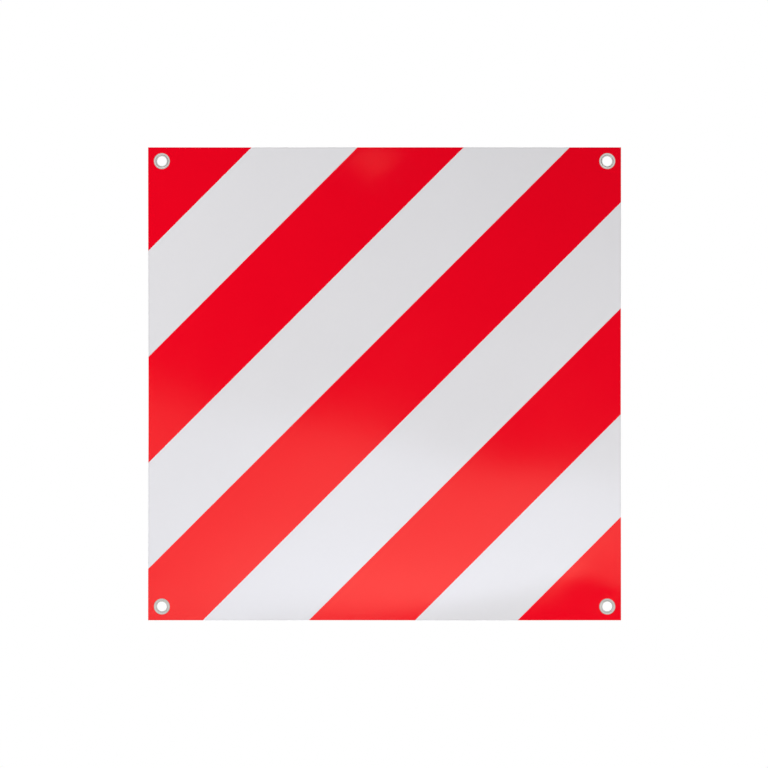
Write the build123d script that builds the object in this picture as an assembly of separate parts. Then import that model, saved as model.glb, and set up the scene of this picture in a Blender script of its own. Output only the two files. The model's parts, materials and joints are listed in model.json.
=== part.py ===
from build123d import *
from math import cos, radians, sin, sqrt
import os

# A square marker panel for a load that sticks out past a vehicle: a soft coated sheet with
# slanting red stripes printed on its white reflective face, tied on through corner eyelets.
# Millimetres, +Z up. The panel stands in XZ, its front faces -Y and its back face is y = 0.
# The origin is the middle of the eyelets.

# Sheet, with its layers from the back to the front
PANEL_WIDTH = 500.0
PANEL_HEIGHT = 500.0
BACK_FILM = 0.15
WOVEN_CORE = 0.25
FACE_FILM = 0.20
PRINT = 0.05

# Red stripes: a triangle in the upper left and lower right corners, and even stripes between them,
# whose white takes up what is left beside the triangles
RED_STRIPES = 5  # with both triangles
CORNER_DEPTH = 77.3  # of a corner triangle, across the stripes
STRIPE_WIDTH = 79.3  # of a red stripe between the triangles, and of the white between two of these
STRIPE_SHIFT = 1.3  # of these stripes from the panel's middle, down and to the right
STRIPE_ANGLE = 45.0  # rise to the right, degrees

# Eyelets: a flanged barrel from the front, rolled over a dished washer at the back
EYELET_INSET = 14.5  # from the panel's edges to the eyelet's axis
BORE_RADIUS = 5.25
BARREL_WALL = 0.4
FLANGE_WIDTH = 3.25  # from the bore to the rim
CROWN_HEIGHT = 1.0  # of the flange over the printed face
ROLL_RADIUS = 0.35  # inside the rolled end
HOLE_CLEARANCE = 0.1  # between the barrel and the hole punched in the sheet
WASHER_STOCK = 0.4
WASHER_RISE = 0.9  # of the washer's top over the sheet's back
WASHER_CLEARANCE = 0.1  # between the barrel and the washer
WASHER_MARGIN = 0.3  # flat of the washer left outside the rolled end

sheet_thickness = BACK_FILM + WOVEN_CORE + FACE_FILM + PRINT
front_y = -sheet_thickness
barrel_radius = BORE_RADIUS + BARREL_WALL
rim_radius = BORE_RADIUS + FLANGE_WIDTH
roll_end_radius = barrel_radius + 2 * ROLL_RADIUS + BARREL_WALL

eyelet_x = PANEL_WIDTH / 2 - EYELET_INSET
eyelet_z = PANEL_HEIGHT / 2 - EYELET_INSET
EYELETS = {
    "top_left": (-eyelet_x, eyelet_z),
    "top_right": (eyelet_x, eyelet_z),
    "bottom_left": (-eyelet_x, -eyelet_z),
    "bottom_right": (eyelet_x, -eyelet_z),
}


def sheet_outline():
    """The cut sheet, flat, with a hole punched for each eyelet."""
    hole = Circle(barrel_radius + HOLE_CLEARANCE)
    return Rectangle(PANEL_WIDTH, PANEL_HEIGHT) - [Pos(x, z) * hole for x, z in EYELETS.values()]


def layer(outline, depth, thickness):
    """A flat outline as a layer of the sheet that starts at a depth in front of its back face."""
    return extrude(Plane.XZ.offset(depth) * outline, amount=thickness)


def stripe_bands():
    """The red bands, flat, from the upper left corner to the lower right one."""
    angle = radians(STRIPE_ANGLE)
    corner = (PANEL_WIDTH * sin(angle) + PANEL_HEIGHT * cos(angle)) / 2
    past_corner = PANEL_WIDTH + PANEL_HEIGHT
    stripes_between = RED_STRIPES - 2
    borders = [(-past_corner, CORNER_DEPTH - corner)]
    for count in range(stripes_between):
        start = STRIPE_SHIFT + (2 * count - stripes_between + 0.5) * STRIPE_WIDTH
        borders.append((start, start + STRIPE_WIDTH))
    borders.append((corner - CORNER_DEPTH, past_corner))
    bands = []
    for start, end in borders:
        band = Pos(0, -(start + end) / 2) * Rectangle(2 * past_corner, end - start)
        bands.append(Rot(0, 0, STRIPE_ANGLE) * band)
    return bands


def dome_radius(run, rise):
    """Radius of the arc that leaves a level crown and comes down by rise over run."""
    return (run**2 + rise**2) / (2 * rise)


def inner_run(run, rise, stock):
    """How far the arc under that one runs out, a stock's thickness inside it, to the same level."""
    radius = dome_radius(run, rise)
    return sqrt((radius - stock) ** 2 - (radius - rise) ** 2)


def eyelet():
    """Flanged barrel about the Y axis: domed flange in front, straight bore, rolled end behind."""
    crown_radius = BORE_RADIUS + CROWN_HEIGHT
    crown_y = front_y - CROWN_HEIGHT
    seat_radius = crown_radius + inner_run(rim_radius - crown_radius, CROWN_HEIGHT, BARREL_WALL)
    roll_inner_end = barrel_radius + 2 * ROLL_RADIUS
    bore_front = (BORE_RADIUS, front_y)
    bore_back = (BORE_RADIUS, WASHER_RISE)
    barrel_front = (barrel_radius, front_y)
    barrel_back = (barrel_radius, WASHER_RISE)
    crown = (crown_radius, crown_y)
    crown_under = (crown_radius, crown_y + BARREL_WALL)
    rim = (rim_radius, front_y)
    seat = (seat_radius, front_y)
    lip_inner = (roll_inner_end, WASHER_RISE)
    lip_outer = (roll_end_radius, WASHER_RISE)
    section = make_face(
        [
            Line(bore_back, bore_front),
            TangentArc(bore_front, crown, tangent=(0, -1)),
            TangentArc(crown, rim, tangent=(1, 0)),
            Line(rim, seat),
            TangentArc(crown_under, seat, tangent=(1, 0)),
            TangentArc(barrel_front, crown_under, tangent=(0, -1)),
            Line(barrel_front, barrel_back),
            TangentArc(barrel_back, lip_inner, tangent=(0, 1)),
            Line(lip_inner, lip_outer),
            TangentArc(bore_back, lip_outer, tangent=(0, 1)),
        ]
    )
    return revolve(section, axis=Axis.Y)


def washer():
    """Dished washer about the Y axis: its flat carries the rolled end, its rim bears on the sheet."""
    hole_radius = barrel_radius + WASHER_CLEARANCE
    flat_radius = roll_end_radius + WASHER_MARGIN
    seat_radius = flat_radius + inner_run(rim_radius - flat_radius, WASHER_RISE, WASHER_STOCK)
    under_y = WASHER_RISE - WASHER_STOCK
    flat_end = (flat_radius, WASHER_RISE)
    flat_under = (flat_radius, under_y)
    rim = (rim_radius, 0)
    seat = (seat_radius, 0)
    section = make_face(
        [
            Polyline(flat_under, (hole_radius, under_y), (hole_radius, WASHER_RISE), flat_end),
            TangentArc(flat_end, rim, tangent=(1, 0)),
            Line(rim, seat),
            TangentArc(flat_under, seat, tangent=(1, 0)),
        ]
    )
    return revolve(section, axis=Axis.Y)


def panel_pieces():
    """Every piece of the panel, by name, in its place."""
    sheet = sheet_outline()
    pieces = {
        "back_film": layer(sheet, 0, BACK_FILM),
        "woven_core": layer(sheet, BACK_FILM, WOVEN_CORE),
        "face_film": layer(sheet, BACK_FILM + WOVEN_CORE, FACE_FILM),
    }
    for count, band in enumerate(stripe_bands(), start=1):
        pieces[f"red_stripe_{count}"] = layer(sheet & band, BACK_FILM + WOVEN_CORE + FACE_FILM, PRINT)
    for corner, (x, z) in EYELETS.items():
        pieces[f"eyelet_{corner}"] = Pos(x, 0, z) * eyelet()
        pieces[f"washer_{corner}"] = Pos(x, 0, z) * washer()
    return pieces


os.makedirs("parts", exist_ok=True)
for name, piece in panel_pieces().items():
    export_step(piece, f"parts/{name}.step")
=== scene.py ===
import json
import math

import bmesh
import bpy
import numpy as np
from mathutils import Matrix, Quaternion, Vector


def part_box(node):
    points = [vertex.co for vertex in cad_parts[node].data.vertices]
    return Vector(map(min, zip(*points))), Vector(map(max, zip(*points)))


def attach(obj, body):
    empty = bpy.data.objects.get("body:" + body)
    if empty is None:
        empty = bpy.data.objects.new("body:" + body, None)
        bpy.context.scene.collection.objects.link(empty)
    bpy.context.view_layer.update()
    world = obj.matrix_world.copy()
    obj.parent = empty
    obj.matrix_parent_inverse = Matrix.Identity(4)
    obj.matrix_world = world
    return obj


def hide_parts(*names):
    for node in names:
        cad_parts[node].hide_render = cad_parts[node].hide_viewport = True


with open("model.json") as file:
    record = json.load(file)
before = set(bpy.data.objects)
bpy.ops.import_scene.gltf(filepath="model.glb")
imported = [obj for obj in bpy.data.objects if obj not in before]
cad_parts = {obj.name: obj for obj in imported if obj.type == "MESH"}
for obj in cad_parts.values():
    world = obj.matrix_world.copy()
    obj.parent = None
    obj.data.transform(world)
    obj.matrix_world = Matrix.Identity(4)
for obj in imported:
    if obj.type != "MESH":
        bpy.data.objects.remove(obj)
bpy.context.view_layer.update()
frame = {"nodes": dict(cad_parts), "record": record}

bl_info = {
    "name": "Load Marker Panel",
    "version": (1, 0, 0),
    "blender": (4, 5, 0),
    "location": "3D View > Sidebar > Marker Panel",
    "description": "Hangs and finishes a striped load marker panel of coated cloth with eyelets",
    "category": "Object",
}

# Names and sizes taken from the frame, in metres. The panel stands in XZ and faces -Y.
CORNERS = ("top_left", "top_right", "bottom_left", "bottom_right")
EYELETS = [f"eyelet_{corner}" for corner in CORNERS]
WASHERS = [f"washer_{corner}" for corner in CORNERS]
STRIPES = sorted(name for name in frame["nodes"] if name.startswith("red_stripe_"))
LAYERS = ("back_film", "woven_core", "face_film")

SHEET_LOW, SHEET_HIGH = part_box("face_film")
PANEL_WIDTH = SHEET_HIGH.x - SHEET_LOW.x
PANEL_HEIGHT = SHEET_HIGH.z - SHEET_LOW.z
MIDDLE_X = (SHEET_HIGH.x + SHEET_LOW.x) / 2
MIDDLE_Z = (SHEET_HIGH.z + SHEET_LOW.z) / 2
EYELET_LOW, EYELET_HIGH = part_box("eyelet_top_right")
EYELET_X = (EYELET_HIGH.x + EYELET_LOW.x) / 2
EYELET_Z = (EYELET_HIGH.z + EYELET_LOW.z) / 2
RIM_RADIUS = (EYELET_HIGH.x - EYELET_LOW.x) / 2
FRONT_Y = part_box(STRIPES[0])[0].y
MOUNTS = {mount["name"]: mount["dims"] for mount in frame["record"]["mounts"]}
BORE_RADIUS = MOUNTS["eyelet_pattern"]["hole_r_mm"] / 1000
ACROSS_STRIPES = Vector((1, 0, -1)).normalized()

# How the sheet has set: its waves' angles from straight up, how far through a wave the panel's
# middle is, and the bulge's place from the low right eyelet
WAVE_RUN = -1.089
WAVE_TURN = 2.941
RIPPLE_RUN = 0.243
RIPPLE_TURN = 0.783
BULGE_PLACE = Vector((-0.0323, 0, 0.0370))
BULGE_REACH = 0.0127  # outside the eyelet's rim, over which the bulge comes up

# Finishes, with sizes in metres and noise scales per metre
FRONT_ROUGHNESS = 0.107  # of the film and the ink
BACK_ROUGHNESS = 0.42
BEAD_IOR = 2.0  # of a film with fine glass beads in it
SHADED_SIDE = Vector((0.35, 0, 0.94))  # towards where the painted shade on the red stripes is deepest
CLOUD_SCALE = 9.0
CLOUD_SHARE = 0.7  # of the unevenness, with the finer mottling as the rest
CLOUD_TONES = (0.975, 1.025)
MOTTLE_SCALE = 220.0
THREAD_SWELL = 0.55
OVER_UNDER = 0.35  # how much higher or lower every other crossing of threads is
# Painted shade of the curled cut edges, with some wear: the coating darkens within a few
# millimetres of every edge
EDGE_SHADE_AND_WEAR = 0.22
EDGE_SHADE_WIDTH = 0.0022
EDGE_SHADE_TONE = 0.7
PLATING_ROUGHNESS = (0.28, 0.36)
RUB_SCALE = 900.0
RUB_HEIGHT = 0.000005
# Painted shade on the eyelets: the plating is darker in the bore's rolled lip and in the crease at
# the rim
BORE_SHADE = 0.8
BORE_SHADE_EDGE = (0.0001, 0.0007)  # outside the bore's radius
RIM_SHADE = 0.9
RIM_SHADE_WIDTH = 0.0016

# Stage, with places and sizes in metres
LEFT_LAMP = (-0.8, -1.08, 0.32)
RIGHT_LAMP = (0.8, -1.04, -0.36)
SIDE_LAMP_SIZE = (0.6, 0.6)
BACK_LAMP = (0.6, 2.0, 0.6)
BACK_LAMP_SIZE = (1.6, 1.6)
HIGH_LAMP = (-0.0445, -1.6, 0.4156)
HIGH_LAMP_SIZE = (0.03, 0.03)
MIRRORED_LAMP = (-0.1061, -1.6, -0.2659)
MIRRORED_LAMP_SIZE = (1.15, 0.42)
MIRRORED_LAMP_ROLL = math.radians(-5.674)
PLAIN_FACE = 0.577  # of the mirrored lamp, away from its glow
GLOW = 3.01
GLOW_PLACE = (0.729, -0.80)  # in shares across and up the lamp
GLOW_SPREAD = (0.335, 0.886)
FLAG_SLOPE = 0.7473
FLAG_EDGE = (-0.285, -0.263)  # from covered to open
FLOOR_SIZE = 14.0
FLOOR_FRONT = 1.5
FLOOR_FADE = 0.4  # from the panel, where the floor starts to turn white
DARK_SIDE = Vector((0, -1, 0))  # which gloss mirrors darker, as it does the side across from it
DARK_EDGE = (0.85, 0.968)
DARK_SHARE = 0.99


class MarkerSheetSettings(bpy.types.PropertyGroup):
    """How the coated sheet is meshed, punched and hung between its eyelets."""

    mesh_step: bpy.props.FloatProperty(
        name="Mesh step",
        description="Side of the squares that a sheet is meshed with, away from its eyelets",
        default=0.005,
        min=0.002,
        unit="LENGTH",
    )
    hole_margin: bpy.props.FloatProperty(
        name="Hole margin",
        description="How much larger the punched hole's radius is than the eyelet's bore",
        default=0.0005,
        min=0.0,
        unit="LENGTH",
    )
    sag: bpy.props.FloatProperty(
        name="Sag",
        description="How far the middle of the panel stands back of its top and bottom eyelets",
        default=0.00276,
        unit="LENGTH",
    )
    wave: bpy.props.FloatProperty(
        name="Wave",
        description="Height of the slow waves that run across the hung sheet",
        default=0.00043,
        unit="LENGTH",
    )
    wave_length: bpy.props.FloatProperty(
        name="Wave length",
        description="Distance between two crests of those waves",
        default=0.276,
        min=0.01,
        unit="LENGTH",
    )
    ripple: bpy.props.FloatProperty(
        name="Ripple",
        description="Height of the finer waves left in the sheet from being rolled up",
        default=0.00009,
        unit="LENGTH",
    )
    ripple_length: bpy.props.FloatProperty(
        name="Ripple length",
        description="Distance between two crests of those waves",
        default=0.140,
        min=0.01,
        unit="LENGTH",
    )
    bulge: bpy.props.FloatProperty(
        name="Bulge",
        description="Height of the soft bulge beside the low right eyelet",
        default=0.000535,
        unit="LENGTH",
    )
    bulge_size: bpy.props.FloatProperty(
        name="Bulge size",
        description="How far that bulge spreads to each side",
        default=0.0197,
        min=0.001,
        unit="LENGTH",
    )
    clamp_reach: bpy.props.FloatProperty(
        name="Clamp reach",
        description="How far outside the rim an eyelet still holds the sheet flat",
        default=0.039,
        min=0.001,
        unit="LENGTH",
    )


class MarkerFinishSettings(bpy.types.PropertyGroup):
    """Colours and surfaces of the sheet's coatings, its cloth and the eyelets."""

    # Painted shade on the red stripes: the red goes from this colour, low on the left, to a darker
    # one high on the right
    red_ink: bpy.props.FloatVectorProperty(
        name="Red ink",
        description="Colour of the printed stripes where their ink is thinnest, low on the left",
        default=(0.91, 0.0003, 0.0135),
        min=0.0,
        max=1.0,
        subtype="COLOR",
    )
    # Painted shade: the red stripes' colour high on the right
    shaded_red_ink: bpy.props.FloatVectorProperty(
        name="Dense red ink",
        description="Colour of the printed stripes where their ink is thickest, high on the right",
        default=(0.812, 0.0003, 0.0125),
        min=0.0,
        max=1.0,
        subtype="COLOR",
    )
    ink_gloss: bpy.props.FloatVectorProperty(
        name="Ink gloss",
        description="Colour of what the printed stripes mirror",
        default=(0.829, 0.36, 0.27),
        min=0.0,
        max=1.0,
        subtype="COLOR",
    )
    white_film: bpy.props.FloatVectorProperty(
        name="White film",
        description="Colour of the reflective film on the front",
        default=(0.755, 0.747, 0.768),
        min=0.0,
        max=1.0,
        subtype="COLOR",
    )
    film_gloss: bpy.props.FloatVectorProperty(
        name="Film gloss",
        description="Colour of what the white film mirrors",
        default=(0.735, 0.771, 0.92),
        min=0.0,
        max=1.0,
        subtype="COLOR",
    )
    back_coating: bpy.props.FloatVectorProperty(
        name="Back coating",
        description="Colour of the coating on the back",
        default=(0.60, 0.61, 0.62),
        min=0.0,
        max=1.0,
        subtype="COLOR",
    )
    bare_cloth: bpy.props.FloatVectorProperty(
        name="Bare cloth",
        description="Colour of the woven threads in the cut edges",
        default=(0.66, 0.65, 0.62),
        min=0.0,
        max=1.0,
        subtype="COLOR",
    )
    plating: bpy.props.FloatVectorProperty(
        name="Plating",
        description="Colour of the eyelets' bright plating",
        default=(0.82, 0.80, 0.77),
        min=0.0,
        max=1.0,
        subtype="COLOR",
    )
    # Painted shade: colour of the plating in the bore's rolled lip and in the crease at the rim
    shaded_plating: bpy.props.FloatVectorProperty(
        name="Dull plating",
        description="Colour of the plating where it is drawn into the bore and pressed at the rim",
        default=(0.42, 0.405, 0.37),
        min=0.0,
        max=1.0,
        subtype="COLOR",
    )
    thread_pitch: bpy.props.FloatProperty(
        name="Thread pitch",
        description="Distance between two threads of the cloth",
        default=0.00105,
        min=0.0001,
        unit="LENGTH",
    )
    front_relief: bpy.props.FloatProperty(
        name="Front relief",
        description="Height of the weave that shows through the coatings on the front",
        default=0.0000065,
        min=0.0,
        unit="LENGTH",
    )
    back_relief: bpy.props.FloatProperty(
        name="Back relief",
        description="Height of the weave that shows through the thinner coating on the back",
        default=0.00004,
        min=0.0,
        unit="LENGTH",
    )


class MarkerStageSettings(bpy.types.PropertyGroup):
    """Camera, lamps and floor."""

    view_width: bpy.props.FloatProperty(
        name="View width",
        description="Width of the picture at the panel's front",
        default=0.812,
        min=0.1,
        unit="LENGTH",
    )
    lens: bpy.props.FloatProperty(
        name="Lens",
        description="Focal length of the camera, in millimetres",
        default=100.0,
        min=1.0,
        unit="CAMERA",
    )
    floor_drop: bpy.props.FloatProperty(
        name="Floor drop",
        description="How far the floor is under the panel's bottom edge",
        default=0.9,
        min=0.0,
        unit="LENGTH",
    )
    camera_left: bpy.props.FloatProperty(
        name="Camera left",
        description="How far the camera is left of the panel's middle",
        default=0.0006,
        unit="LENGTH",
    )
    camera_down: bpy.props.FloatProperty(
        name="Camera down",
        description="How far the camera is under the panel's middle",
        default=0.0002,
        unit="LENGTH",
    )
    left_power: bpy.props.FloatProperty(
        name="Left lamp",
        description="Power of the soft lamp on the left",
        default=11.1,
        min=0.0,
        unit="POWER",
    )
    right_power: bpy.props.FloatProperty(
        name="Right lamp",
        description="Power of the soft lamp low on the right",
        default=9.0,
        min=0.0,
        unit="POWER",
    )
    mirrored_power: bpy.props.FloatProperty(
        name="Mirrored lamp",
        description="Power of the soft lamp under the camera, which the sheet's lower half mirrors",
        default=1.52,
        min=0.0,
        unit="POWER",
    )
    high_power: bpy.props.FloatProperty(
        name="High lamp",
        description="Power of the small lamp over the camera, which glints near the top edge",
        default=0.0105,
        min=0.0,
        unit="POWER",
    )
    back_power: bpy.props.FloatProperty(
        name="Back lamp",
        description="Power of the soft lamp behind the panel",
        default=25.0,
        min=0.0,
        unit="POWER",
    )
    fill: bpy.props.FloatProperty(
        name="Fill",
        description="Brightness of the even light from all round",
        default=0.169,
        min=0.0,
    )


def select_only(piece):
    """Leaves one object selected and active."""
    bpy.ops.object.select_all(action="DESELECT")
    piece.select_set(True)
    bpy.context.view_layer.objects.active = piece


def select_faces(piece, wanted):
    """In edit mode, leaves those faces selected whose middle passes the test."""
    bpy.ops.mesh.select_mode(type="FACE")
    bpy.ops.mesh.select_all(action="DESELECT")
    mesh = bmesh.from_edit_mesh(piece.data)
    for face in mesh.faces:
        face.select_set(bool(wanted(face.calc_center_median())))
    bmesh.update_edit_mesh(piece.data)


def eyelet_distance(x, z):
    """Distance from the nearest eyelet's axis."""
    return np.hypot(np.abs(x) - EYELET_X, np.abs(z) - EYELET_Z)


def add_flat_sheet(name, front_y):
    """A flat grid over the whole panel, facing the front, with finer squares round the eyelets."""
    step = bpy.context.scene.marker_sheet.mesh_step
    bpy.ops.object.select_all(action="DESELECT")
    bpy.ops.mesh.primitive_grid_add(
        x_subdivisions=round(PANEL_WIDTH / step),
        y_subdivisions=round(PANEL_HEIGHT / step),
        size=1,
        location=(MIDDLE_X, front_y, MIDDLE_Z),
        rotation=(math.pi / 2, 0, 0),
    )
    sheet = bpy.context.object
    sheet.scale = (PANEL_WIDTH, PANEL_HEIGHT, 1)
    sheet.name = name
    sheet.data.name = name
    bpy.ops.object.transform_apply(location=True, rotation=True, scale=True)
    bpy.ops.object.mode_set(mode="EDIT")
    for reach in (3.5 * RIM_RADIUS, 2 * RIM_RADIUS):
        select_faces(sheet, lambda middle, reach=reach: eyelet_distance(middle.x, middle.z) < reach)
        bpy.ops.mesh.subdivide(number_cuts=1)
    bpy.ops.object.mode_set(mode="OBJECT")
    return sheet


def cut_across(sheet, border, keep_after):
    """Cuts a flat sheet along a stripe's border and keeps the side after it or before it."""
    select_only(sheet)
    bpy.ops.object.mode_set(mode="EDIT")
    bpy.ops.mesh.select_all(action="SELECT")
    bpy.ops.mesh.bisect(
        plane_co=Vector((MIDDLE_X, 0, MIDDLE_Z)) + border * ACROSS_STRIPES,
        plane_no=ACROSS_STRIPES,
        clear_inner=keep_after,
        clear_outer=not keep_after,
    )
    bpy.ops.object.mode_set(mode="OBJECT")


def thicken(sheet, thickness):
    """Gives a flat sheet its thickness, behind its face."""
    select_only(sheet)
    solidify = sheet.modifiers.new("thickness", "SOLIDIFY")
    solidify.thickness = thickness
    solidify.offset = -1
    bpy.ops.object.modifier_apply(modifier=solidify.name)


def punch_holes(sheet):
    """Punches the eyelets' holes through a sheet."""
    settings = bpy.context.scene.marker_sheet
    bpy.ops.object.select_all(action="DESELECT")
    punches = []
    for side in (-1, 1):
        for end in (-1, 1):
            bpy.ops.mesh.primitive_cylinder_add(
                vertices=72,
                radius=BORE_RADIUS + settings.hole_margin,
                depth=2 * RIM_RADIUS,
                location=(side * EYELET_X, 0, end * EYELET_Z),
                rotation=(math.pi / 2, 0, 0),
            )
            punches.append(bpy.context.object)
    for punch in punches:
        punch.select_set(True)
    bpy.ops.object.join()
    punch = bpy.context.object
    select_only(sheet)
    holes = sheet.modifiers.new("holes", "BOOLEAN")
    holes.operation = "DIFFERENCE"
    holes.solver = "EXACT"
    holes.object = punch
    bpy.ops.object.modifier_apply(modifier=holes.name)
    select_only(punch)
    bpy.ops.object.delete()


def wave_shape(x, z, height, length, run, turn):
    """Waves, by their angle from straight up and how far through one the panel's middle is."""
    along = math.sin(run) * x + math.cos(run) * z
    return height * np.sin(2 * math.pi * along / length + turn)


def free_shape(x, z):
    """How far back the sheet's own set would put it at x, z if its eyelets didn't hold it."""
    settings = bpy.context.scene.marker_sheet
    depth = settings.sag / 2 * (1 + np.cos(math.pi * z / EYELET_Z))
    depth += wave_shape(x, z, settings.wave, settings.wave_length, WAVE_RUN, WAVE_TURN)
    depth += wave_shape(x, z, settings.ripple, settings.ripple_length, RIPPLE_RUN, RIPPLE_TURN)
    return depth


def smooth_step(share):
    """From 0 to 1 with level ends, for a share of the way."""
    share = np.clip(share, 0, 1)
    return share**2 * (3 - 2 * share)


def bulge_shape(x, z):
    """How far forward the sheet bulges beside the low right eyelet, whose rim holds it flat."""
    settings = bpy.context.scene.marker_sheet
    away = np.hypot(x - EYELET_X - BULGE_PLACE.x, z + EYELET_Z - BULGE_PLACE.z)
    held = smooth_step((eyelet_distance(x, z) - RIM_RADIUS) / BULGE_REACH)
    return settings.bulge * np.exp(-0.5 * (away / settings.bulge_size) ** 2) * held


def hung_shape(x, z):
    """How far back of its flat place the sheet hangs at x, z, which is 0 under an eyelet's rim."""
    settings = bpy.context.scene.marker_sheet
    depth = free_shape(x, z)
    for side in (-1, 1):
        for end in (-1, 1):
            held = free_shape(np.array([side * EYELET_X]), np.array([end * EYELET_Z]))
            share = (1 + side * x / EYELET_X) * (1 + end * z / EYELET_Z) / 4
            depth = depth - held * share
    outside_rim = eyelet_distance(x, z) - RIM_RADIUS
    return depth * smooth_step(outside_rim / settings.clamp_reach) - bulge_shape(x, z)


def hang(sheet):
    """Moves a flat sheet's points to where it hangs, and smooths all but its cut edges."""
    places = np.empty(3 * len(sheet.data.vertices))
    sheet.data.vertices.foreach_get("co", places)
    places = places.reshape(-1, 3)
    places[:, 1] += hung_shape(places[:, 0], places[:, 2])
    sheet.data.vertices.foreach_set("co", places.ravel())
    sheet.data.update()
    select_only(sheet)
    bpy.ops.object.shade_smooth_by_angle(angle=math.radians(35))


def finish_sheet(sheet, node_name, material):
    """Punches, hangs, colours and declares a sheet that stands for a node."""
    low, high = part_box(node_name)
    thicken(sheet, high.y - low.y)
    punch_holes(sheet)
    hang(sheet)
    sheet.data.materials.clear()
    sheet.data.materials.append(material)
    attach(sheet, "root")
    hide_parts(node_name)


def stripe_borders(name):
    """Where a red stripe starts and ends across the panel, from its middle."""
    middle = Vector((MIDDLE_X, 0, MIDDLE_Z))
    places = [vertex.co - middle for vertex in frame["nodes"][name].data.vertices]
    across = [place.dot(ACROSS_STRIPES) for place in places]
    return min(across), max(across)


def add_node(tree, kind, **settings):
    """A new shader node with its settings."""
    made = tree.nodes.new(kind)
    for name, value in settings.items():
        setattr(made, name, value)
    return made


def feed(tree, socket, value):
    """Links a socket to another, or sets its value."""
    if isinstance(value, bpy.types.NodeSocket):
        tree.links.new(value, socket)
    else:
        socket.default_value = value


def calculate(tree, operation, first, second=0.0):
    """A math node's result."""
    made = add_node(tree, "ShaderNodeMath", operation=operation)
    feed(tree, made.inputs[0], first)
    feed(tree, made.inputs[1], second)
    return made.outputs[0]


def ramp_between(tree, value, low, high, to_low=0.0, to_high=1.0):
    """A value's smooth step between two others."""
    made = add_node(tree, "ShaderNodeMapRange", interpolation_type="SMOOTHSTEP")
    for name, number in (
        ("Value", value),
        ("From Min", low),
        ("From Max", high),
        ("To Min", to_low),
        ("To Max", to_high),
    ):
        feed(tree, made.inputs[name], number)
    return made.outputs["Result"]


def mix_colours(tree, share, first, second):
    """A colour between two others."""
    made = add_node(tree, "ShaderNodeMix", data_type="RGBA")
    feed(tree, made.inputs["Factor"], share)
    for socket, colour in zip((made.inputs[6], made.inputs[7]), (first, second)):
        feed(tree, socket, colour)
    return made.outputs[2]


def noise(tree, places, scale, detail=2.0):
    """A noise texture's value."""
    made = add_node(tree, "ShaderNodeTexNoise")
    feed(tree, made.inputs["Vector"], places)
    feed(tree, made.inputs["Scale"], scale)
    feed(tree, made.inputs["Detail"], detail)
    return made.outputs["Fac"]


def scaled_colour(colour, share):
    """A colour made darker or lighter, for a colour socket."""
    return tuple(min(1.0, part * share) for part in colour) + (1.0,)


def new_material(name):
    """A material with only its shader and output, and its object's own coordinates."""
    material = bpy.data.materials.new(name)
    material.use_nodes = True
    tree = material.node_tree
    places = add_node(tree, "ShaderNodeTexCoord").outputs["Object"]
    return material, tree, tree.nodes["Principled BSDF"], places


def weave(tree, places):
    """Height of a plain weave from 0 to 1, with every other crossing higher, by place in XZ."""
    pitch = bpy.context.scene.marker_finish.thread_pitch
    parts = add_node(tree, "ShaderNodeSeparateXYZ")
    feed(tree, parts.inputs[0], places)
    turns = []
    for axis in ("X", "Z"):
        angle = calculate(tree, "MULTIPLY", parts.outputs[axis], math.pi / pitch)
        turns.append(calculate(tree, "SINE", angle))
    crossing = calculate(tree, "MULTIPLY", *turns)
    swell = calculate(tree, "MULTIPLY", calculate(tree, "ABSOLUTE", crossing), THREAD_SWELL)
    over_under = calculate(tree, "MULTIPLY", crossing, OVER_UNDER)
    return calculate(tree, "ADD", swell, over_under)


def edge_distance(tree, places):
    """Distance from the panel's nearest cut edge."""
    parts = add_node(tree, "ShaderNodeSeparateXYZ")
    feed(tree, parts.inputs[0], places)
    sides = []
    for axis, half in (("X", PANEL_WIDTH / 2), ("Z", PANEL_HEIGHT / 2)):
        off_middle = calculate(tree, "ABSOLUTE", parts.outputs[axis])
        sides.append(calculate(tree, "SUBTRACT", half, off_middle))
    return calculate(tree, "MINIMUM", *sides)


def cloudy_colour(tree, uneven, colour):
    """A colour that is a little lighter and darker from place to place."""
    darker, lighter = (scaled_colour(colour, tone) for tone in CLOUD_TONES)
    return mix_colours(tree, uneven, darker, lighter)


def coating(name, colour, roughness, relief, shaded_colour=None):
    """A coating over cloth: a little uneven in colour and gloss, with the weave showing through and
    painted shade along the cut edges.
    """
    material, tree, shader, places = new_material(name)
    cloudy = calculate(tree, "MULTIPLY", noise(tree, places, CLOUD_SCALE), CLOUD_SHARE)
    mottled = calculate(tree, "MULTIPLY", noise(tree, places, MOTTLE_SCALE, 3.0), 1 - CLOUD_SHARE)
    uneven = calculate(tree, "ADD", cloudy, mottled)
    body = cloudy_colour(tree, uneven, colour)
    # Painted shade: the colour darkens towards the upper right
    if shaded_colour is not None:
        towards = add_node(tree, "ShaderNodeVectorMath", operation="DOT_PRODUCT")
        feed(tree, towards.inputs[0], places)
        towards.inputs[1].default_value = SHADED_SIDE
        reach = 0.7 * PANEL_HEIGHT
        shade_share = ramp_between(tree, towards.outputs["Value"], -reach, reach)
        body = mix_colours(tree, shade_share, body, cloudy_colour(tree, uneven, shaded_colour))
    # Painted shade along the cut edges, with some wear: darker towards every edge
    edge_shade_and_wear = ramp_between(tree, edge_distance(tree, places), 0.0, EDGE_SHADE_WIDTH, EDGE_SHADE_AND_WEAR, 0.0)
    tone = mix_colours(tree, edge_shade_and_wear, body, scaled_colour(colour, EDGE_SHADE_TONE))
    feed(tree, shader.inputs["Base Color"], tone)
    rough = ramp_between(tree, uneven, 0.3, 0.7, 0.85 * roughness, 1.15 * roughness)
    feed(tree, shader.inputs["Roughness"], rough)
    bump = add_node(tree, "ShaderNodeBump")
    bump.inputs["Distance"].default_value = relief
    feed(tree, bump.inputs["Height"], weave(tree, places))
    feed(tree, shader.inputs["Normal"], bump.outputs["Normal"])
    return material


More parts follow.
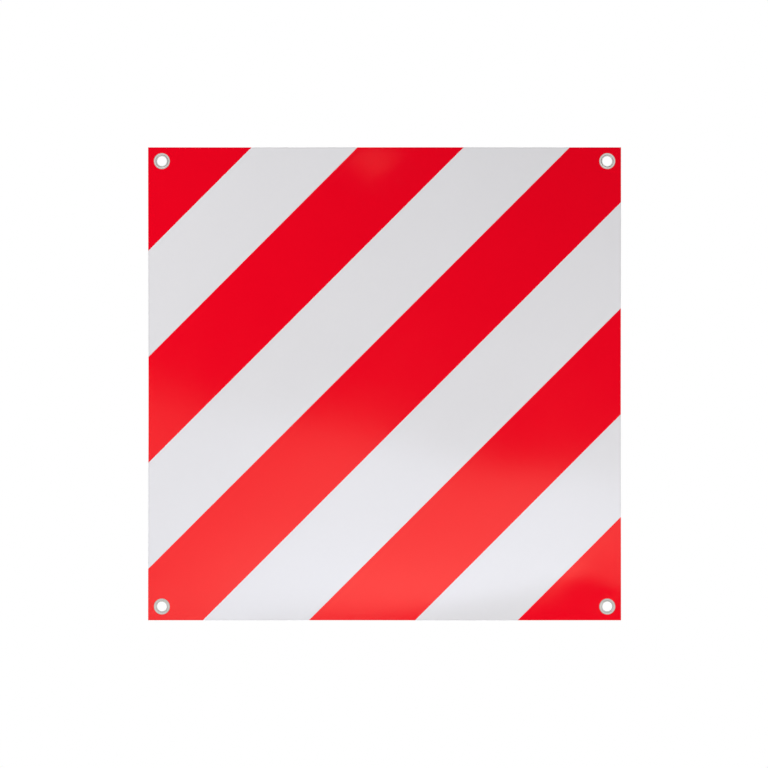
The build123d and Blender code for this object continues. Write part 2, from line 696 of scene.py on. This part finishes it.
def add_bead_gloss(material, tint):
    """Gives a coating the strong tinted gloss of a film with fine glass beads in it."""
    shader = material.node_tree.nodes["Principled BSDF"]
    shader.inputs["IOR"].default_value = BEAD_IOR
    shader.inputs["Specular Tint"].default_value = scaled_colour(tint, 1.0)


def cloth_material():
    """Bare threads, seen in the cut edges."""
    finish = bpy.context.scene.marker_finish
    material, tree, shader, places = new_material("bare cloth")
    threads = weave(tree, places)
    tone = mix_colours(
        tree, threads, scaled_colour(finish.bare_cloth, 0.62), scaled_colour(finish.bare_cloth, 1.1)
    )
    feed(tree, shader.inputs["Base Color"], tone)
    shader.inputs["Roughness"].default_value = 0.9
    shader.inputs["Sheen Weight"].default_value = 0.2
    bump = add_node(tree, "ShaderNodeBump")
    bump.inputs["Distance"].default_value = finish.back_relief
    feed(tree, bump.inputs["Height"], threads)
    feed(tree, shader.inputs["Normal"], bump.outputs["Normal"])
    return material


def plating_material():
    """Bright plating with fine rubbing marks, and painted shade in the bore's rolled lip and in the
    crease at the rim.
    """
    finish = bpy.context.scene.marker_finish
    material, tree, shader, places = new_material("plated metal")
    parts = add_node(tree, "ShaderNodeSeparateXYZ")
    feed(tree, parts.inputs[0], places)
    offsets = []
    for axis, centre in (("X", EYELET_X), ("Z", EYELET_Z)):
        off_middle = calculate(tree, "ABSOLUTE", parts.outputs[axis])
        offset = calculate(tree, "SUBTRACT", off_middle, centre)
        offsets.append(calculate(tree, "MULTIPLY", offset, offset))
    radius = calculate(tree, "SQRT", calculate(tree, "ADD", *offsets))
    rubbed = noise(tree, places, RUB_SCALE, 4.0)
    # Painted shade, darker towards the bore and towards the crease at the rim
    bore_start, bore_end = (BORE_RADIUS + edge for edge in BORE_SHADE_EDGE)
    bore_shade = ramp_between(tree, radius, bore_start, bore_end, BORE_SHADE, 0.0)
    rim_shade = ramp_between(tree, radius, RIM_RADIUS - RIM_SHADE_WIDTH, RIM_RADIUS, 0.0, RIM_SHADE)
    painted_shade = calculate(tree, "MAXIMUM", bore_shade, rim_shade)
    bright = mix_colours(
        tree, rubbed, scaled_colour(finish.plating, 0.88), scaled_colour(finish.plating, 1.05)
    )
    tone = mix_colours(tree, painted_shade, bright, scaled_colour(finish.shaded_plating, 1.0))
    feed(tree, shader.inputs["Base Color"], tone)
    shader.inputs["Metallic"].default_value = 1.0
    rough = ramp_between(tree, rubbed, 0.3, 0.7, *PLATING_ROUGHNESS)
    feed(tree, shader.inputs["Roughness"], rough)
    bump = add_node(tree, "ShaderNodeBump")
    bump.inputs["Distance"].default_value = RUB_HEIGHT
    feed(tree, bump.inputs["Height"], rubbed)
    feed(tree, shader.inputs["Normal"], bump.outputs["Normal"])
    return material


class MARKER_OT_sheet_layers(bpy.types.Operator):
    """Hang the sheet's three layers: back coating, woven cloth and white reflective film"""

    bl_idname = "marker.sheet_layers"
    bl_label = "Sheet Layers"

    def execute(self, context):
        finish = context.scene.marker_finish
        film = coating(
            "white reflective film", finish.white_film, FRONT_ROUGHNESS, finish.front_relief
        )
        add_bead_gloss(film, finish.film_gloss)
        back = coating("back coating", finish.back_coating, BACK_ROUGHNESS, finish.back_relief)
        materials = {
            "back_film": ("back_coating", back),
            "woven_core": ("woven_cloth", cloth_material()),
            "face_film": ("reflective_white", film),
        }
        for name in LAYERS:
            slot, material = materials[name]
            sheet = add_flat_sheet(f"{name}_sheet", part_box(name)[0].y)
            finish_sheet(sheet, name, material)
        return {"FINISHED"}


class MARKER_OT_red_stripes(bpy.types.Operator):
    """Print the red stripes on the white film"""

    bl_idname = "marker.red_stripes"
    bl_label = "Red Stripes"

    def execute(self, context):
        finish = context.scene.marker_finish
        ink = coating(
            "red ink", finish.red_ink, FRONT_ROUGHNESS, finish.front_relief, finish.shaded_red_ink
        )
        add_bead_gloss(ink, finish.ink_gloss)
        corner = (PANEL_WIDTH * ACROSS_STRIPES.x - PANEL_HEIGHT * ACROSS_STRIPES.z) / 2
        inside_corner = 0.999 * corner
        for name in STRIPES:
            sheet = add_flat_sheet(f"{name}_print", FRONT_Y)
            start, end = stripe_borders(name)
            if start > -inside_corner:
                cut_across(sheet, start, keep_after=True)
            if end < inside_corner:
                cut_across(sheet, end, keep_after=False)
            finish_sheet(sheet, name, ink)
        return {"FINISHED"}


class MARKER_OT_eyelets(bpy.types.Operator):
    """Plate the eyelets and their washers"""

    bl_idname = "marker.eyelets"
    bl_label = "Eyelets and Washers"

    def execute(self, context):
        plating = plating_material()
        for name in EYELETS + WASHERS:
            piece = frame["nodes"][name]
            piece.data.materials.clear()
            piece.data.materials.append(plating)
        return {"FINISHED"}


def add_soft_lamp(name, place, target, size, power, roll=0.0):
    """A rectangular soft lamp that points at a target and isn't seen itself."""
    bpy.ops.object.light_add(type="AREA", location=place)
    lamp = bpy.context.object
    lamp.name = name
    lamp.data.shape = "RECTANGLE"
    lamp.data.size, lamp.data.size_y = size
    lamp.data.energy = power
    aim = (Vector(target) - Vector(place)).to_track_quat("-Z", "Y")
    lamp.rotation_euler = (aim @ Quaternion((0, 0, 1), roll)).to_euler()
    lamp.visible_camera = False
    return lamp


def square_on(place):
    """The point in the panel's plane that a lamp at a place faces squarely."""
    return place[0], 0, place[2]


def shade_lamp(lamp):
    """Makes a soft lamp glow most at its lower edge, and covers one lower corner with a flag."""
    lamp.data.use_nodes = True
    tree = lamp.data.node_tree
    parts = add_node(tree, "ShaderNodeSeparateXYZ")
    feed(tree, parts.inputs[0], add_node(tree, "ShaderNodeNewGeometry").outputs["Parametric"])
    across, up = parts.outputs["X"], parts.outputs["Y"]
    squares = []
    for share, middle, spread in zip((across, up), GLOW_PLACE, GLOW_SPREAD):
        off = calculate(tree, "DIVIDE", calculate(tree, "SUBTRACT", share, middle), spread)
        squares.append(calculate(tree, "MULTIPLY", off, off))
    far = calculate(tree, "ADD", *squares)
    glow = calculate(tree, "EXPONENT", calculate(tree, "MULTIPLY", far, -0.5))
    bright = calculate(tree, "ADD", calculate(tree, "MULTIPLY", glow, GLOW), PLAIN_FACE)
    over_flag = calculate(tree, "SUBTRACT", up, calculate(tree, "MULTIPLY", across, FLAG_SLOPE))
    open_face = ramp_between(tree, over_flag, *FLAG_EDGE)
    strength = calculate(tree, "MULTIPLY", bright, open_face)
    feed(tree, tree.nodes["Emission"].inputs["Strength"], strength)


def seen_directly(tree):
    """Whether a ray comes from the camera, or from gloss or glass that shows the background."""
    light = add_node(tree, "ShaderNodeLightPath")
    seen = light.outputs["Is Camera Ray"]
    for ray in ("Is Glossy Ray", "Is Transmission Ray"):
        seen = calculate(tree, "MAXIMUM", seen, light.outputs[ray])
    return seen


def add_floor(level):
    """A pale floor that shades under the panel and fades into the white background further out."""
    ahead = Vector((0, FLOOR_SIZE / 2 - FLOOR_FRONT, 0))
    bpy.ops.mesh.primitive_grid_add(
        x_subdivisions=8, y_subdivisions=8, size=FLOOR_SIZE, location=ahead + Vector((0, 0, level))
    )
    floor = bpy.context.object
    floor.name = "floor"
    material, tree, shader, places = new_material("pale floor")
    shader.inputs["Base Color"].default_value = (0.82, 0.82, 0.82, 1)
    shader.inputs["Roughness"].default_value = 0.9
    out = tree.nodes["Material Output"]
    from_panel = add_node(tree, "ShaderNodeVectorMath", operation="ADD")
    feed(tree, from_panel.inputs[0], places)
    from_panel.inputs[1].default_value = ahead
    far = add_node(tree, "ShaderNodeVectorMath", operation="LENGTH")
    feed(tree, far.inputs[0], from_panel.outputs[0])
    white = add_node(tree, "ShaderNodeEmission")
    light = add_node(tree, "ShaderNodeLightPath")
    fade = ramp_between(tree, far.outputs["Value"], FLOOR_FADE, FLOOR_FRONT)
    fade = calculate(tree, "MULTIPLY", fade, light.outputs["Is Camera Ray"])
    for ray in ("Is Glossy Ray", "Is Transmission Ray"):
        fade = calculate(tree, "MAXIMUM", fade, light.outputs[ray])
    mixed = add_node(tree, "ShaderNodeMixShader")
    feed(tree, mixed.inputs[0], fade)
    feed(tree, mixed.inputs[1], shader.outputs[0])
    feed(tree, mixed.inputs[2], white.outputs[0])
    feed(tree, out.inputs["Surface"], mixed.outputs[0])
    floor.data.materials.append(material)


def set_world(fill):
    """An even fill light and a white background, which gloss mirrors darker ahead and behind."""
    world = bpy.data.worlds.new("studio")
    bpy.context.scene.world = world
    world.use_nodes = True
    tree = world.node_tree
    tree.nodes.clear()
    towards = add_node(tree, "ShaderNodeVectorMath", operation="DOT_PRODUCT")
    feed(tree, towards.inputs[0], add_node(tree, "ShaderNodeTexCoord").outputs["Generated"])
    towards.inputs[1].default_value = DARK_SIDE
    facing = calculate(tree, "ABSOLUTE", towards.outputs["Value"])
    dark = ramp_between(tree, facing, *DARK_EDGE, 0.0, DARK_SHARE)
    glossy = add_node(tree, "ShaderNodeLightPath").outputs["Is Glossy Ray"]
    shaded = calculate(tree, "MULTIPLY", dark, glossy)
    backdrop = add_node(tree, "ShaderNodeBackground")
    feed(tree, backdrop.inputs["Strength"], calculate(tree, "SUBTRACT", 1.0, shaded))
    even = add_node(tree, "ShaderNodeBackground")
    even.inputs["Strength"].default_value = fill
    for background in (backdrop, even):
        background.inputs["Color"].default_value = (1, 1, 1, 1)
    mixed = add_node(tree, "ShaderNodeMixShader")
    feed(tree, mixed.inputs[0], seen_directly(tree))
    feed(tree, mixed.inputs[1], even.outputs[0])
    feed(tree, mixed.inputs[2], backdrop.outputs[0])
    out = add_node(tree, "ShaderNodeOutputWorld")
    feed(tree, out.inputs["Surface"], mixed.outputs[0])


class MARKER_OT_stage(bpy.types.Operator):
    """Set up the camera square to the panel, the soft lamps, the white background and the floor"""

    bl_idname = "marker.stage"
    bl_label = "Stage"

    def execute(self, context):
        stage = context.scene.marker_stage
        bpy.ops.object.select_all(action="DESELECT")
        bpy.ops.object.camera_add()
        camera = context.object
        camera.name = "camera"
        camera.data.lens = stage.lens
        camera.data.sensor_width = 36
        distance = stage.view_width * stage.lens / camera.data.sensor_width
        camera.location = (
            MIDDLE_X - stage.camera_left,
            FRONT_Y - distance,
            MIDDLE_Z - stage.camera_down,
        )
        camera.rotation_euler = (math.pi / 2, 0, 0)
        context.scene.camera = camera
        middle = (MIDDLE_X, 0, MIDDLE_Z)
        sides = [
            add_soft_lamp("left lamp", LEFT_LAMP, middle, SIDE_LAMP_SIZE, stage.left_power),
            add_soft_lamp("low right lamp", RIGHT_LAMP, middle, SIDE_LAMP_SIZE, stage.right_power),
        ]
        for lamp in sides:
            lamp.visible_glossy = False
        mirrored = add_soft_lamp(
            "mirrored lamp",
            MIRRORED_LAMP,
            square_on(MIRRORED_LAMP),
            MIRRORED_LAMP_SIZE,
            stage.mirrored_power,
            MIRRORED_LAMP_ROLL,
        )
        shade_lamp(mirrored)
        back = add_soft_lamp("back lamp", BACK_LAMP, middle, BACK_LAMP_SIZE, stage.back_power)
        back.visible_glossy = False
        add_soft_lamp(
            "high lamp", HIGH_LAMP, square_on(HIGH_LAMP), HIGH_LAMP_SIZE, stage.high_power
        )
        add_floor(SHEET_LOW.z - stage.floor_drop)
        set_world(stage.fill)
        context.scene.view_settings.view_transform = "Standard"
        return {"FINISHED"}


class MARKER_PT_build(bpy.types.Panel):
    """The steps that build the marker panel, with their settings"""

    bl_idname = "MARKER_PT_build"
    bl_label = "Load Marker Panel"
    bl_space_type = "VIEW_3D"
    bl_region_type = "UI"
    bl_category = "Marker Panel"

    def draw(self, context):
        for step in STEPS:
            self.layout.operator(step.bl_idname)
        for name, settings in SETTINGS.items():
            box = self.layout.box()
            for value in settings.__annotations__:
                box.prop(getattr(context.scene, name), value)


STEPS = (MARKER_OT_sheet_layers, MARKER_OT_red_stripes, MARKER_OT_eyelets, MARKER_OT_stage)
SETTINGS = {
    "marker_sheet": MarkerSheetSettings,
    "marker_finish": MarkerFinishSettings,
    "marker_stage": MarkerStageSettings,
}


def register():
    for name, settings in SETTINGS.items():
        bpy.utils.register_class(settings)
        setattr(bpy.types.Scene, name, bpy.props.PointerProperty(type=settings))
    for item in STEPS + (MARKER_PT_build,):
        bpy.utils.register_class(item)


def unregister():
    for item in reversed(STEPS + (MARKER_PT_build,)):
        bpy.utils.unregister_class(item)
    for name, settings in SETTINGS.items():
        delattr(bpy.types.Scene, name)
        bpy.utils.unregister_class(settings)


def main():
    register()
    bpy.ops.marker.sheet_layers()
    bpy.ops.marker.red_stripes()
    bpy.ops.marker.eyelets()
    bpy.ops.marker.stage()


if __name__ == "__main__":
    main()
